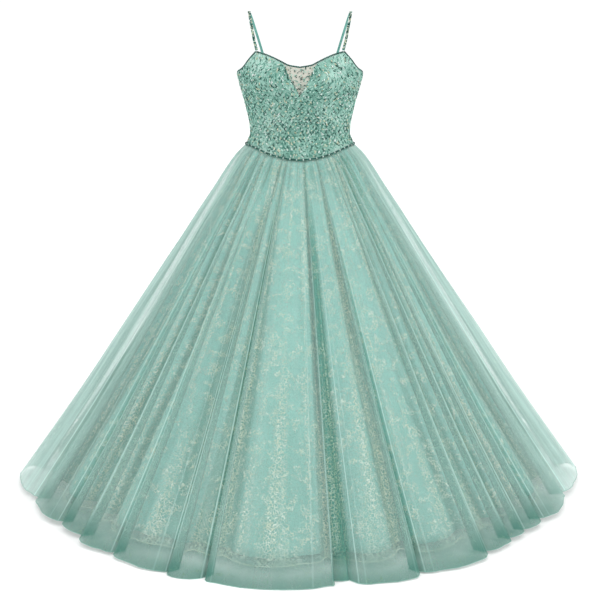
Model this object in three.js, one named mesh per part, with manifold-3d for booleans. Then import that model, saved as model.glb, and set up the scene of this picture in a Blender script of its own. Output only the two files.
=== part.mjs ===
// Ball gown with a beaded bodice, thin shoulder straps and a three-layer skirt.
// Millimetres, +Z up. The front faces -Y and the wearer's left is +X.
// The origin lies midway between the undersides of the two straps, where the shoulders hold the gown up.
// Angles run round the body in degrees: 0 is centre front, 90 the wearer's left side, 180 centre back.

import * as THREE from "three";
import Module from "manifold-3d";
import { mergeVertices } from "three/addons/utils/BufferGeometryUtils.js";

const wasm = await Module();
wasm.setup();

// Driving dimensions
const SEAM_GAP = 0.3;
const BODICE_WALL = 2.8;
const PIPING_RADIUS = 2.5;
const PIPING_SIDES = 6;
const PIPING_GAP = 0.6;
const SHOULDER_X = 139;

// Height of the hem's lowest point under the shoulders, for each skirt layer
const TULLE_HEM = -1290;
const LACE_HEM = -1272;
const SATIN_HEM = -1258;

// Radius of each layer's hem in the valleys between its folds
const LACE_VALLEY = 709;
const SATIN_VALLEY = 694;

// Cup fullness on the front of the bodice
const CUP = { angle: 37, height: -187, swell: 8, spreadAngle: 17, spreadHeight: 36 };

// V notch for the illusion panel: its half angle at the neckline and the height of its point
const NOTCH = { angle: 22.5, tip: -226 };

// Torso sections from the top down: half width at the sides, depth in front and behind
const TORSO = [
  { height: -60, side: 166, front: 96, back: 88 },
  { height: -100, side: 169, front: 106, back: 92 },
  { height: -160, side: 173, front: 125, back: 102 },
  { height: -190, side: 167, front: 130, back: 104 },
  { height: -225, side: 157, front: 122, back: 102 },
  { height: -264, side: 147.5, front: 111, back: 99 },
  { height: -305, side: 139.5, front: 103, back: 98 },
  { height: -326, side: 138.6, front: 101, back: 98 },
  { height: -347, side: 146, front: 106, back: 103 },
  { height: -362, side: 152, front: 111, back: 107 },
  { height: -400, side: 166, front: 124, back: 119 },
];
const TORSO_SQUARENESS = 2.3;

// Edges of the bodice on one side, as height against the angle from centre front
const STRAP_CORNER = 55;
const SIDE_SEAM = 90;
const NECKLINE = [
  { angle: 0, height: -144 },
  { angle: 14, height: -139 },
  { angle: 23, height: -130 },
  { angle: 35, height: -118 },
  { angle: 45, height: -109.5 },
  { angle: STRAP_CORNER, height: -103 },
];
const ARMHOLE = [
  { angle: STRAP_CORNER, height: -103 },
  { angle: 62, height: -126 },
  { angle: 66, height: -140 },
  { angle: 71, height: -149 },
  { angle: SIDE_SEAM, height: -160 },
];
const BACK_EDGE = [
  { angle: SIDE_SEAM, height: -160 },
  { angle: 105, height: -172 },
  { angle: 125, height: -183 },
  { angle: 139, height: -187 },
  { angle: 160, height: -191 },
  { angle: 180, height: -192 },
];
const WAIST_SEAM = [
  { angle: 0, height: -395 },
  { angle: 18, height: -391 },
  { angle: 37, height: -381 },
  { angle: 54, height: -368 },
  { angle: 69, height: -360 },
  { angle: 90, height: -358 },
  { angle: 135, height: -365 },
  { angle: 180, height: -370 },
];

// Flare of the skirt: the share of the spread reached at each share of the fall from waist to hem
const FLARE = [
  { fall: 0, tulle: 0, satin: 0 },
  { fall: 0.027, tulle: 0.036, satin: 0.029 },
  { fall: 0.065, tulle: 0.077, satin: 0.065 },
  { fall: 0.12, tulle: 0.13, satin: 0.114 },
  { fall: 0.22, tulle: 0.23, satin: 0.207 },
  { fall: 0.37, tulle: 0.374, satin: 0.342 },
  { fall: 0.54, tulle: 0.538, satin: 0.5 },
  { fall: 0.74, tulle: 0.732, satin: 0.712 },
  { fall: 1, tulle: 1, satin: 1 },
];

// Folds round the hem. Each starts in a valley at its angle and ends where the next one starts.
// valley is the tulle's hem radius there and lift its height above the lowest point; tulle and satin
// are how far each layer's lobe stands out from its valleys.
const FOLDS = [
  { start: -95, valley: 750, tulle: 46, satin: 22, lift: 8 },
  { start: -81, valley: 750, tulle: 62, satin: 26, lift: 10 },
  { start: -63, valley: 752, tulle: 44, satin: 22, lift: 13 },
  { start: -50, valley: 758, tulle: 30, satin: 8, lift: 14 },
  { start: -42.5, valley: 758, tulle: 40, satin: 20, lift: 12 },
  { start: -33.5, valley: 765, tulle: 38, satin: 26, lift: 8 },
  { start: -21.5, valley: 772, tulle: 40, satin: 10, lift: 2 },
  { start: -15.2, valley: 768, tulle: 46, satin: 30, lift: 0 },
  { start: 5.5, valley: 772, tulle: 8, satin: 2, lift: 2 },
  { start: 8.2, valley: 772, tulle: 42, satin: 24, lift: 1 },
  { start: 19.5, valley: 765, tulle: 46, satin: 28, lift: 4 },
  { start: 33.5, valley: 760, tulle: 36, satin: 14, lift: 9 },
  { start: 40.5, valley: 754, tulle: 28, satin: 8, lift: 12 },
  { start: 45.5, valley: 754, tulle: 32, satin: 10, lift: 13 },
  { start: 51.5, valley: 752, tulle: 46, satin: 24, lift: 13 },
  { start: 64.5, valley: 748, tulle: 60, satin: 26, lift: 18 },
  { start: 82, valley: 748, tulle: 46, satin: 22, lift: 12 },
  { start: 95, valley: 746, tulle: 58, satin: 26, lift: 9 },
  { start: 112, valley: 750, tulle: 36, satin: 12, lift: 12 },
  { start: 121, valley: 750, tulle: 58, satin: 28, lift: 6 },
  { start: 139, valley: 752, tulle: 32, satin: 10, lift: 8 },
  { start: 147, valley: 752, tulle: 56, satin: 28, lift: 3 },
  { start: 165, valley: 752, tulle: 50, satin: 24, lift: 5 },
  { start: 180, valley: 750, tulle: 60, satin: 30, lift: 2 },
  { start: 200, valley: 754, tulle: 36, satin: 12, lift: 6 },
  { start: 209, valley: 754, tulle: 46, satin: 20, lift: 4 },
  { start: 221, valley: 750, tulle: 30, satin: 8, lift: 10 },
  { start: 228, valley: 748, tulle: 58, satin: 28, lift: 7 },
  { start: 246, valley: 748, tulle: 60, satin: 26, lift: 6 },
];
const FULL_TURN = 360;
const ANGLE_SLIP = 1e-9;
const SIDES = [["left", 1], ["right", -1]];

// Seams between the skirt's panels, all in valleys
const PANEL_SEAMS = [-95, -42.5, 5.5, 51.5, 95, 139, 180, 221, 265];

// Where the columns of a fold lie, as shares of its width
const NARROW_FOLD = 9;
const SOFT_COLUMNS = { narrow: [0, 0.5], wide: [0, 0.25, 0.5, 0.75] };
const CRISP_COLUMNS = { narrow: [0, 0.12, 0.35, 0.65, 0.88], wide: [0, 0.08, 0.22, 0.4, 0.6, 0.78, 0.92] };

// Skirt layers from the inside out. inset is how far the top edge lies inside the bodice's outer face,
// gather the share of each lobe kept at the waist seam, pinch how steep the lobe's flanks are and
// fullness how square its top is: lower is squarer. rows picks rows of the flare table.
const SATIN = {
  name: "satin_gore", wall: 1.6, inset: 3.8, hem: SATIN_HEM, fold: "satin", flare: "satin",
  valley: () => SATIN_VALLEY, gather: 0.04, pinch: 0.35, fullness: 1,
  columns: SOFT_COLUMNS, rows: [0, 2, 5, 7, 8],
};
const LACE = {
  ...SATIN, name: "lace_panel", wall: 1.2, inset: 2.1, hem: LACE_HEM, valley: () => LACE_VALLEY,
};
const TULLE = {
  name: "tulle_panel", wall: 1.4, inset: 0, hem: TULLE_HEM, fold: "tulle", flare: "tulle",
  valley: (angle) => alongFolds(angle, "valley"), gather: 0.09, pinch: 0.88, fullness: 0.75,
  columns: CRISP_COLUMNS, rows: [0, 1, 2, 3, 5, 6, 8],
};

// Straps: points on the underside of one strap from the bodice up to the shoulder
const FRONT_STRAP = { width: 8, thick: 3.4 };
const FRONT_STRAP_PATH = [
  { x: 122.5, y: -72, z: -78 },
  { x: 128.5, y: -58, z: -49 },
  { x: 134, y: -39, z: -22 },
  { x: 137.4, y: -20, z: -6 },
];
const BACK_STRAP = { width: 7, thick: 2 };
const BACK_STRAP_ANGLE = 139;
const STRAP_LIFT = 0.6;
const BACK_STRAP_PATH = [
  { x: 136, y: 22, z: -8 },
  { x: 128, y: 44, z: -34 },
  { x: 116, y: 63, z: -74 },
  { x: 103.5, y: 78, z: -117 },
  { x: 92.5, y: 90, z: -155 },
];

// Centre back zip
const ZIP = { chainWidth: 5.4, chainThick: 1.8, top: -196 };
const SLIDER = {
  width: 8, plate: 1.2, above: 5, below: 7,
  postWidth: 2.4, postTall: 3,
  archWidth: 2.4, archWall: 1, archHole: 2.4,
};
const TAB = { width: 6, thick: 1.2, length: 22, holeWidth: 3.4, holeLength: 4, bar: 1.2 };

// Materials
const cloth = (color, roughness) => new THREE.MeshStandardMaterial({ color, roughness, metalness: 0 });
const beadedMint = () => cloth(0x8fbdaf, 0.5);
const nudeMesh = () => cloth(0xd9d3c4, 0.8);
const beadedPiping = () => cloth(0x2f6b60, 0.35);
const mintSatin = () => cloth(0x93c6b9, 0.45);
const goldLace = () => cloth(0xcfd3b4, 0.6);
const paleTulle = () => cloth(0xbfd6cf, 0.8);
const zipNylon = () => cloth(0x86b5a8, 0.6);
const zipMetal = () => new THREE.MeshStandardMaterial({ color: 0xc4c8c6, roughness: 0.3, metalness: 1 });

const gown = new THREE.Group();
gown.name = "ball_gown";

function addPiece(name, geometry, material) {
  const mesh = new THREE.Mesh(geometry, material);
  mesh.name = name;
  gown.add(mesh);
  return mesh;
}

const radians = (degrees) => THREE.MathUtils.degToRad(degrees);
const aroundBody = (angle, radius) => [radius * Math.sin(radians(angle)), -radius * Math.cos(radians(angle))];

// A smooth curve through a table's rows that never overshoots them
function smooth(table, key, column, at) {
  const rows = [...table].sort((a, b) => a[key] - b[key]);
  const rise = (row, i) => (row[column] - rows[i][column]) / (row[key] - rows[i][key]);
  const steps = rows.slice(1).map(rise);
  const slope = (i) => {
    const before = steps[Math.max(i - 1, 0)];
    const after = steps[Math.min(i, steps.length - 1)];
    return before * after <= 0 ? 0 : (2 * before * after) / (before + after);
  };
  const clamped = THREE.MathUtils.clamp(at, rows[0][key], rows[rows.length - 1][key]);
  const last = rows.findIndex((row, i) => i > 0 && clamped <= row[key]);
  const from = rows[last - 1];
  const to = rows[last];
  const span = to[key] - from[key];
  const t = (clamped - from[key]) / span;
  const blend = 3 * t ** 2 - 2 * t ** 3;
  const level = (1 - blend) * from[column] + blend * to[column];
  const leaving = (t ** 3 - 2 * t ** 2 + t) * span * slope(last - 1);
  const arriving = (t ** 3 - t ** 2) * span * slope(last);
  return level + leaving + arriving;
}

// A closed body from sheets of points: each sheet has rows from the top down and columns anticlockwise
// seen from above, and the inner sheet backs the outer one.
function closedWall(outer, inner) {
  const rows = outer.length;
  const columns = outer[0].length;
  const positions = [...outer.flat(), ...inner.flat()].flat();
  const front = (row, column) => row * columns + column;
  const back = (row, column) => rows * columns + front(row, column);
  const faces = [];
  const quad = (a, b, c, d) => faces.push(a, b, c, a, c, d);
  for (let row = 0; row < rows - 1; row += 1) {
    for (let column = 0; column < columns - 1; column += 1) {
      quad(front(row, column), front(row + 1, column), front(row + 1, column + 1), front(row, column + 1));
      quad(back(row, column), back(row, column + 1), back(row + 1, column + 1), back(row + 1, column));
    }
    const end = columns - 1;
    quad(front(row, 0), back(row, 0), back(row + 1, 0), front(row + 1, 0));
    quad(front(row, end), front(row + 1, end), back(row + 1, end), back(row, end));
  }
  for (let column = 0; column < columns - 1; column += 1) {
    const end = rows - 1;
    quad(front(0, column), front(0, column + 1), back(0, column + 1), back(0, column));
    quad(front(end, column), back(end, column), back(end, column + 1), front(end, column + 1));
  }
  return bodyFrom(positions, faces);
}

// A closed body through rings of points, each ring anticlockwise seen from the way the rings run
function loft(rings) {
  const sides = rings[0].length;
  const faces = [];
  for (let ring = 0; ring < rings.length - 1; ring += 1) {
    for (let side = 0; side < sides; side += 1) {
      const next = (side + 1) % sides;
      const here = ring * sides;
      const there = here + sides;
      faces.push(here + side, here + next, there + next, here + side, there + next, there + side);
    }
  }
  const top = (rings.length - 1) * sides;
  for (let side = 1; side < sides - 1; side += 1) {
    faces.push(0, side + 1, side, top, top + side, top + side + 1);
  }
  return bodyFrom(rings.flat(2), faces);
}

function bodyFrom(positions, faces) {
  const geometry = new THREE.BufferGeometry();
  geometry.setAttribute("position", new THREE.Float32BufferAttribute(positions, 3));
  geometry.setIndex(faces);
  return geometry;
}

// Rings round a path, in the plane square to it. across is the direction of a section's first axis, and
// cuts holds, for the first and the last ring, the axis that it is cut square to.
function sweep(path, section, across, cuts) {
  const rings = path.map((point, i) => {
    const before = path[Math.max(i - 1, 0)];
    const after = path[Math.min(i + 1, path.length - 1)];
    const along = after.clone().sub(before).normalize();
    const second = new THREE.Vector3().crossVectors(along, across).normalize();
    const first = new THREE.Vector3().crossVectors(second, along);
    const corner = ([a, b]) => point.clone().addScaledVector(first, a).addScaledVector(second, b);
    const corners = section.map(corner);
    const cut = cuts && (i === 0 ? cuts.first : i === path.length - 1 && cuts.last);
    if (cut) {
      corners.forEach((at) => at.addScaledVector(along, (point[cut] - at[cut]) / along[cut]));
    }
    return corners.map((at) => at.toArray());
  });
  return loft(rings);
}

const upright = new THREE.Vector3(0, 0, 1);

function piping(name, path) {
  const section = Array.from({ length: PIPING_SIDES }, (_, i) => {
    const turn = (2 * Math.PI * i) / PIPING_SIDES;
    return [PIPING_RADIUS * Math.cos(turn), PIPING_RADIUS * Math.sin(turn)];
  });
  addPiece(name, sweep(path, section, upright), beadedPiping());
}

// Points from one angle to another, at most step degrees apart
function spread(from, to, step) {
  const count = Math.max(1, Math.ceil(Math.abs(to - from) / step));
  return Array.from({ length: count + 1 }, (_, i) => from + ((to - from) * i) / count);
}

// Torso: the bodice's outer face
function torsoRadius(angle, height) {
  const sine = Math.abs(Math.sin(radians(angle)));
  const cosine = Math.cos(radians(angle));
  const side = smooth(TORSO, "height", "side", height);
  const depth = smooth(TORSO, "height", cosine > 0 ? "front" : "back", height);
  const power = TORSO_SQUARENESS;
  const plain = ((sine / side) ** power + (Math.abs(cosine) / depth) ** power) ** (-1 / power);
  const sideways = (Math.abs(angle) - CUP.angle) / CUP.spreadAngle;
  const upward = (height - CUP.height) / CUP.spreadHeight;
  return plain + CUP.swell * Math.exp(-(sideways ** 2) - upward ** 2);
}

// A point at a depth inside a face that is given by its radius at each angle
function insideFace(radiusAt, angle, depth) {
  const nudge = 0.05;
  const [x, y] = aroundBody(angle, radiusAt(angle));
  const [beforeX, beforeY] = aroundBody(angle - nudge, radiusAt(angle - nudge));
  const [afterX, afterY] = aroundBody(angle + nudge, radiusAt(angle + nudge));
  const length = Math.hypot(afterX - beforeX, afterY - beforeY);
  const outX = (afterY - beforeY) / length;
  const outY = -(afterX - beforeX) / length;
  return [x - outX * depth, y - outY * depth];
}

function torsoPoint(angle, height, depth) {
  const [x, y] = insideFace((at) => torsoRadius(at, height), angle, depth);
  return new THREE.Vector3(x, y, height);
}

function edgeHeight(angle) {
  const away = Math.abs(angle);
  if (away <= STRAP_CORNER) {
    return smooth(NECKLINE, "angle", "height", away);
  }
  const table = away <= SIDE_SEAM ? ARMHOLE : BACK_EDGE;
  return smooth(table, "angle", "height", away);
}

// Height of the wall's top under the piping: clear of every point of the piping near this angle
function underPiping(angle) {
  const clear = PIPING_RADIUS + PIPING_GAP;
  const reach = THREE.MathUtils.radToDeg(clear / torsoRadius(angle, edgeHeight(angle)));
  const heights = [-0.9, -0.6, -0.3, 0, 0.3, 0.6, 0.9].map((share) => {
    const nearby = Math.abs(angle) + share * reach;
    return edgeHeight(nearby) - PIPING_RADIUS - clear * Math.sqrt(1 - share ** 2);
  });
  return Math.min(...heights);
}

const seamHeight = (angle) => smooth(WAIST_SEAM, "angle", "height", Math.abs(angle));
const notchSlope = (edgeHeight(NOTCH.angle) - NOTCH.tip) / NOTCH.angle;
const notchHeight = (angle) => NOTCH.tip + notchSlope * Math.abs(angle);

// Bodice panels. Their side edges stop short of the seam's angle, and their bottom edge a little above
// the waist seam.
const BODICE = { wall: BODICE_WALL, rows: 6 };
const SEAM_GAP_ANGLE = 0.06;
const BODICE_RISE = 0.4;
const PRINCESS_SEAM = 31;
const ARMHOLE_BEND = 74;
const STEP = { front: 5, armhole: 3, side: 5.5, back: 6.5 };

function clothPanel(name, angles, topAt, bottomAt, { wall, rows }, material) {
  const sheet = (depth) =>
    Array.from({ length: rows + 1 }, (_, row) =>
      angles.map((angle) => {
        const height = topAt(angle) + ((bottomAt(angle) - topAt(angle)) * row) / rows;
        return torsoPoint(angle, height, depth).toArray();
      }),
    );
  return addPiece(name, closedWall(sheet(0), sheet(wall)), material);
}

// Angles through several stops, with the step used between each two
function through(...stops) {
  const stretch = ({ angle, step }, i) => spread(stops[i].angle, angle, step).slice(i > 0 ? 1 : 0);
  return stops.slice(1).flatMap(stretch);
}

const bodiceBottom = (angle) => seamHeight(angle) + BODICE_RISE;
const frontTop = (angle) =>
  Math.abs(angle) < NOTCH.angle ? Math.min(notchHeight(angle), underPiping(angle)) : underPiping(angle);
const frontEdge = PRINCESS_SEAM - SEAM_GAP_ANGLE;
const centerAngles = through(
  { angle: -frontEdge },
  { angle: -NOTCH.angle, step: STEP.front },
  { angle: NOTCH.angle, step: STEP.front },
  { angle: frontEdge, step: STEP.front },
);
clothPanel("bodice_center_front", centerAngles, frontTop, bodiceBottom, BODICE, beadedMint());

const sideAngles = through(
  { angle: PRINCESS_SEAM + SEAM_GAP_ANGLE },
  { angle: STRAP_CORNER, step: STEP.front },
  { angle: ARMHOLE_BEND, step: STEP.armhole },
  { angle: SIDE_SEAM - SEAM_GAP_ANGLE, step: STEP.side },
);
const zipHalfAngle = THREE.MathUtils.radToDeg((ZIP.chainWidth / 2 + SEAM_GAP) / torsoRadius(180, ZIP.top));
const zipEdge = 180 - zipHalfAngle;
const backAngles = spread(SIDE_SEAM + SEAM_GAP_ANGLE, zipEdge, STEP.back);
for (const [side, sign] of SIDES) {
  const ordered = (angles) => (sign > 0 ? angles : angles.map((angle) => -angle).reverse());
  const pieces = { [`bodice_side_front_${side}`]: sideAngles, [`bodice_back_${side}`]: backAngles };
  for (const [name, angles] of Object.entries(pieces)) {
    clothPanel(name, ordered(angles), underPiping, bodiceBottom, BODICE, beadedMint());
  }
}

// Illusion panel: fills the V notch up to the neckline piping
const ILLUSION = { wall: 1.2, inFromNotch: 1, aboveNotch: 1.6, leastHeight: 1, rows: 3 };
const illusionEdge = NOTCH.angle - ILLUSION.inFromNotch;
clothPanel(
  "illusion_panel",
  spread(-illusionEdge, illusionEdge, STEP.front),
  underPiping,
  (angle) => Math.min(notchHeight(angle) + ILLUSION.aboveNotch, underPiping(angle) - ILLUSION.leastHeight),
  ILLUSION, nudeMesh(),
);

// Pipings along the bodice's edges, on top of the wall, and outside it just above the waist seam. The
// angles by which they stop short leave room for the next piping, and at the back for the zip.
const STOP_SHORT = { corner: 1.6, armholeTop: 0.4, side: 0.15, zip: 2.6 };
const WAIST_PIPING = { gap: 0.8, rise: PIPING_RADIUS + 1.2 };
const PIPING_STEP = { neckline: 5, armhole: 3.5, back: 7, waist: 6 };
const edgePoint = (angle) => torsoPoint(angle, edgeHeight(angle) - PIPING_RADIUS, BODICE_WALL / 2);
const waistPoint = (angle) =>
  torsoPoint(angle, seamHeight(angle) + WAIST_PIPING.rise, -PIPING_RADIUS - WAIST_PIPING.gap);
const cornerEnd = STRAP_CORNER - STOP_SHORT.corner;
const frontEnd = SIDE_SEAM - STOP_SHORT.side;
const backStart = SIDE_SEAM + STOP_SHORT.side;
const backEnd = 180 - STOP_SHORT.zip;
piping("neckline_piping", spread(-cornerEnd, cornerEnd, PIPING_STEP.neckline).map(edgePoint));
piping("waist_piping_front", spread(-frontEnd, frontEnd, PIPING_STEP.waist).map(waistPoint));
for (const [side, sign] of SIDES) {
  const along = (from, to, step, pointAt) => spread(from, to, step).map((angle) => pointAt(sign * angle));
  const armholeTop = STRAP_CORNER + STOP_SHORT.armholeTop;
  piping(`armhole_piping_${side}`, along(armholeTop, frontEnd, PIPING_STEP.armhole, edgePoint));
  piping(`back_neck_piping_${side}`, along(backStart, backEnd, PIPING_STEP.back, edgePoint));
  piping(`waist_piping_back_${side}`, along(backStart, backEnd, PIPING_STEP.back, waistPoint));
}

// Straps
function strap(name, path, size, material, cuts) {
  const halfWidth = size.width / 2;
  const section = [[-halfWidth, 0], [halfWidth, 0], [halfWidth, size.thick], [-halfWidth, size.thick]];
  addPiece(name, sweep(path, section, new THREE.Vector3(-1, 0, 0), cuts), material);
}

for (const [side, sign] of SIDES) {
  const mirrored = ({ x, y, z }) => new THREE.Vector3(sign * x, y, z);
  const shoulder = (y) => new THREE.Vector3(sign * SHOULDER_X, y, 0);
  const onEdge = (angle, depth) => torsoPoint(sign * angle, edgeHeight(angle) + STRAP_LIFT, depth);
  const frontFoot = onEdge(STRAP_CORNER - 0.5, BODICE_WALL);
  const backFoot = onEdge(BACK_STRAP_ANGLE, (BODICE_WALL + BACK_STRAP.thick) / 2);
  const frontPath = [frontFoot, ...FRONT_STRAP_PATH.map(mirrored), shoulder(-SEAM_GAP / 2)];
  const backPath = [shoulder(SEAM_GAP / 2), ...BACK_STRAP_PATH.map(mirrored), backFoot];
  strap(`strap_front_${side}`, frontPath, FRONT_STRAP, beadedPiping(), { first: "z", last: "y" });
  strap(`strap_back_${side}`, backPath, BACK_STRAP, mintSatin(), { first: "y", last: "z" });
}

// Zip chain between the back panels
const zipFace = (height) => torsoPoint(180, height, 0);
const CHAIN = { top: ZIP.top - 2, bottom: seamHeight(180) + 1, step: 20 };
const chainHeights = spread(CHAIN.top, CHAIN.bottom, CHAIN.step);
const halfChain = ZIP.chainWidth / 2;
const chainSheet = (depth) =>
  chainHeights.map((height) => [halfChain, -halfChain].map((x) => [x, zipFace(height).y - depth, height]));
const chainDepth = (BODICE_WALL - ZIP.chainThick) / 2;
const chain = closedWall(chainSheet(chainDepth), chainSheet(chainDepth + ZIP.chainThick));
addPiece("zip_chain", chain, zipNylon());

// Slider: two plates joined above the chain, with an arch on its outer plate for the pull tab
function solid(geometry) {
  const plain = new THREE.BufferGeometry();
  plain.setAttribute("position", geometry.getAttribute("position"));
  plain.setIndex(geometry.getIndex());
  const merged = mergeVertices(plain, 1e-4);
  const mesh = new wasm.Mesh({
    numProp: 3,
    vertProperties: new Float32Array(merged.getAttribute("position").array),
    triVerts: new Uint32Array(merged.getIndex().array),
  });
  return new wasm.Manifold(mesh);
}

function box(sizeX, sizeY, sizeZ, x, y, z) {
  return solid(new THREE.BoxGeometry(sizeX, sizeY, sizeZ).translate(x, y, z));
}

function geometryOf(manifold) {
  const { vertProperties, triVerts } = manifold.getMesh();
  return bodyFrom(Array.from(vertProperties), Array.from(triVerts));
}

const hingeZ = ZIP.top;
const sliderTop = hingeZ + SLIDER.above;
const sliderBottom = hingeZ - SLIDER.below;
const wallFaces = [zipFace(sliderTop).y, zipFace(sliderBottom).y];
const outerFace = Math.max(...wallFaces) + SEAM_GAP;
const innerFace = Math.min(...wallFaces) - BODICE_WALL - SEAM_GAP;
const archReach = SLIDER.archHole + SLIDER.archWall;
const archTall = SLIDER.archHole + 2 * SLIDER.archWall;
const hingeY = outerFace + SLIDER.plate + SLIDER.archHole / 2;
const sliderMiddle = (sliderTop + sliderBottom) / 2;
const plate = (y) => box(SLIDER.width, SLIDER.plate, sliderTop - sliderBottom, 0, y, sliderMiddle);
const post = box(
  SLIDER.postWidth, outerFace - innerFace + SLIDER.plate, SLIDER.postTall,
  0, (outerFace + innerFace) / 2, sliderTop - SLIDER.postTall / 2,
);
const arch = box(SLIDER.archWidth, archReach, archTall, 0, outerFace + SLIDER.plate + archReach / 2, hingeZ)
  .subtract(box(2 * SLIDER.archWidth, SLIDER.archHole, SLIDER.archHole, 0, hingeY, hingeZ));
const plates = plate(outerFace + SLIDER.plate / 2).add(plate(innerFace - SLIDER.plate / 2));
const slider = plates.add(post).add(arch);
addPiece("zip_slider", geometryOf(slider), zipMetal());

const tabMiddle = hingeZ + (TAB.bar - TAB.length) / 2;
const holeMiddle = hingeZ - (TAB.bar + TAB.holeLength) / 2;
const tab = box(TAB.width, TAB.thick, TAB.length, 0, hingeY, tabMiddle)
  .subtract(box(TAB.holeWidth, 2 * TAB.thick, TAB.holeLength, 0, hingeY, holeMiddle));
addPiece("zip_pull_tab", geometryOf(tab), zipMetal());

// Skirt
function foldAt(angle) {
  const turned = angle < FOLDS[0].start ? angle + FULL_TURN : angle;
  const index = FOLDS.findLastIndex((fold) => turned >= fold.start - ANGLE_SLIP);
  const next = FOLDS[(index + 1) % FOLDS.length];
  const end = index + 1 < FOLDS.length ? next.start : next.start + FULL_TURN;
  const fold = FOLDS[index];
  return { fold, next, end, share: (turned - fold.start) / (end - fold.start) };
}

function alongFolds(angle, column) {
  const { fold, next, share } = foldAt(angle);
  return fold[column] + (next[column] - fold[column]) * share ** 2 * (3 - 2 * share);
}

// A point on a skirt layer. angle counts along the folds; a lobe widens towards its top, so the true
// angle of the point differs from it by the lobe's pinch.
function skirtPoint(layer, angle, row, depth) {
  const { fall } = FLARE[row];
  const spreadShare = FLARE[row][layer.flare];
  const face = (at) => {
    const { fold, end, share } = foldAt(at);
    const turn = 2 * Math.PI * share;
    const trueAngle = at - ((end - fold.start) * layer.pinch * Math.sin(turn)) / (2 * Math.PI);
    const lobe = fold[layer.fold] * ((1 - Math.cos(turn)) / 2) ** layer.fullness;
    const waist = torsoRadius(foldedAngle(trueAngle), seamHeight(foldedAngle(trueAngle))) - layer.inset;
    const radius = waist + (layer.valley(at) - waist) * spreadShare;
    const kept = layer.gather + (1 - layer.gather) * spreadShare;
    return { trueAngle, point: aroundBody(trueAngle, radius + lobe * kept) };
  };
  const nudge = 0.02;
  const here = face(angle);
  const before = face(angle - nudge).point;
  const after = face(angle + nudge).point;
  const length = Math.hypot(after[0] - before[0], after[1] - before[1]);
  const tangent = [(after[0] - before[0]) / length, (after[1] - before[1]) / length];
  const top = seamHeight(foldedAngle(here.trueAngle)) - SEAM_GAP;
  const height = top + (layer.hem + alongFolds(angle, "lift") - top) * fall;
  return {
    point: [here.point[0] - tangent[1] * depth, here.point[1] + tangent[0] * depth, height],
    tangent,
  };
}

// The same direction as an angle between -180 and 180
function foldedAngle(angle) {
  return THREE.MathUtils.euclideanModulo(angle + 180, FULL_TURN) - 180;
}

function skirtPanel(layer, number, from, to) {
  const angles = FOLDS.flatMap((fold) => {
    const width = foldAt(fold.start).end - fold.start;
    const shares = width < NARROW_FOLD ? layer.columns.narrow : layer.columns.wide;
    return shares.map((share) => fold.start + width * share);
  }).filter((angle) => angle >= from - ANGLE_SLIP && angle < to - ANGLE_SLIP);
  angles.push(to);
  const sheet = (depth) =>
    layer.rows.map((row) =>
      angles.map((angle, column) => {
        const { point, tangent } = skirtPoint(layer, angle, row, depth);
        const shift = column === 0 ? SEAM_GAP / 2 : column === angles.length - 1 ? -SEAM_GAP / 2 : 0;
        return [point[0] + tangent[0] * shift, point[1] + tangent[1] * shift, point[2]];
      }),
    );
  return addPiece(`${layer.name}_${number}`, closedWall(sheet(0), sheet(layer.wall)), layer.material());
}

for (const [layer, material] of [[SATIN, mintSatin], [LACE, goldLace], [TULLE, paleTulle]]) {
  layer.material = material;
  PANEL_SEAMS.slice(1).forEach((end, i) => skirtPanel(layer, i + 1, PANEL_SEAMS[i], end));
}

export default gown;
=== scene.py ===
"""Looks of a mint ball gown: each soft piece is built finer on its solid, with beads, lace and hems."""

import math
from functools import partial

import bpy
import numpy as np
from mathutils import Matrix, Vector


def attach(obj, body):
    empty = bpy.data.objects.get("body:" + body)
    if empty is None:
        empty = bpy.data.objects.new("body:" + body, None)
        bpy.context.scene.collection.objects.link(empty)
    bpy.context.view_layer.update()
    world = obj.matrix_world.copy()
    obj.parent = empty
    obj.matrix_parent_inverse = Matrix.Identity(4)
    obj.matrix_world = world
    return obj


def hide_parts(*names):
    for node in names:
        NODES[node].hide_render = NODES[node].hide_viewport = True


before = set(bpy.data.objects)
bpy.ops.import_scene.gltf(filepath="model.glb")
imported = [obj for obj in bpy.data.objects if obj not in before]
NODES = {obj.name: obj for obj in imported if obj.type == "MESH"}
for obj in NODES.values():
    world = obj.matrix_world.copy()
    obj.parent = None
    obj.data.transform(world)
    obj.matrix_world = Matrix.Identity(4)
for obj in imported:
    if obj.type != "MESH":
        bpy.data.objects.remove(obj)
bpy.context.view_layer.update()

MM = 0.001
SEED = 7

# Camera: straight in front, a little above the waist, tilted down
CAMERA_PLACE = (0, -2.9592, -0.12415)
CAMERA_TILT_DOWN = 13
CAMERA_LENS = 62.72
SENSOR = 36

camera_data = bpy.data.cameras.new("front_camera")
camera_data.sensor_width = SENSOR
camera_data.lens = CAMERA_LENS
camera_data.clip_end = 100
camera = bpy.data.objects.new("front_camera", camera_data)
camera.location = CAMERA_PLACE
camera.rotation_euler = (math.radians(90 - CAMERA_TILT_DOWN), 0, 0)
bpy.context.scene.collection.objects.link(camera)
bpy.context.scene.camera = camera


# The gown's form in millimetres and degrees, as the part builds it. Angles run round the body:
# 0 is centre front, 90 the wearer's left side, 180 centre back.
def table(names, *rows):
    """One array for each named column."""
    return dict(zip(names.split(), np.array(rows, float).T))


FULL_TURN = 360
SEAM_GAP = 0.3
BODICE_WALL = 2.8
PIPING_RADIUS = 2.5
PIPING_GAP = 0.6
SHOULDER_X = 139
CUP = {"angle": 37, "height": -187, "swell": 8, "spread_angle": 17, "spread_height": 36}
NOTCH = {"angle": 22.5, "tip": -226}
TORSO_SQUARENESS = 2.3
STRAP_CORNER = 55
SIDE_SEAM = 90
PRINCESS_SEAM = 31
ZIP_EDGE = 178.3
ZIP_TOP = -196
BACK_STRAP_ANGLE = 139

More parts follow.
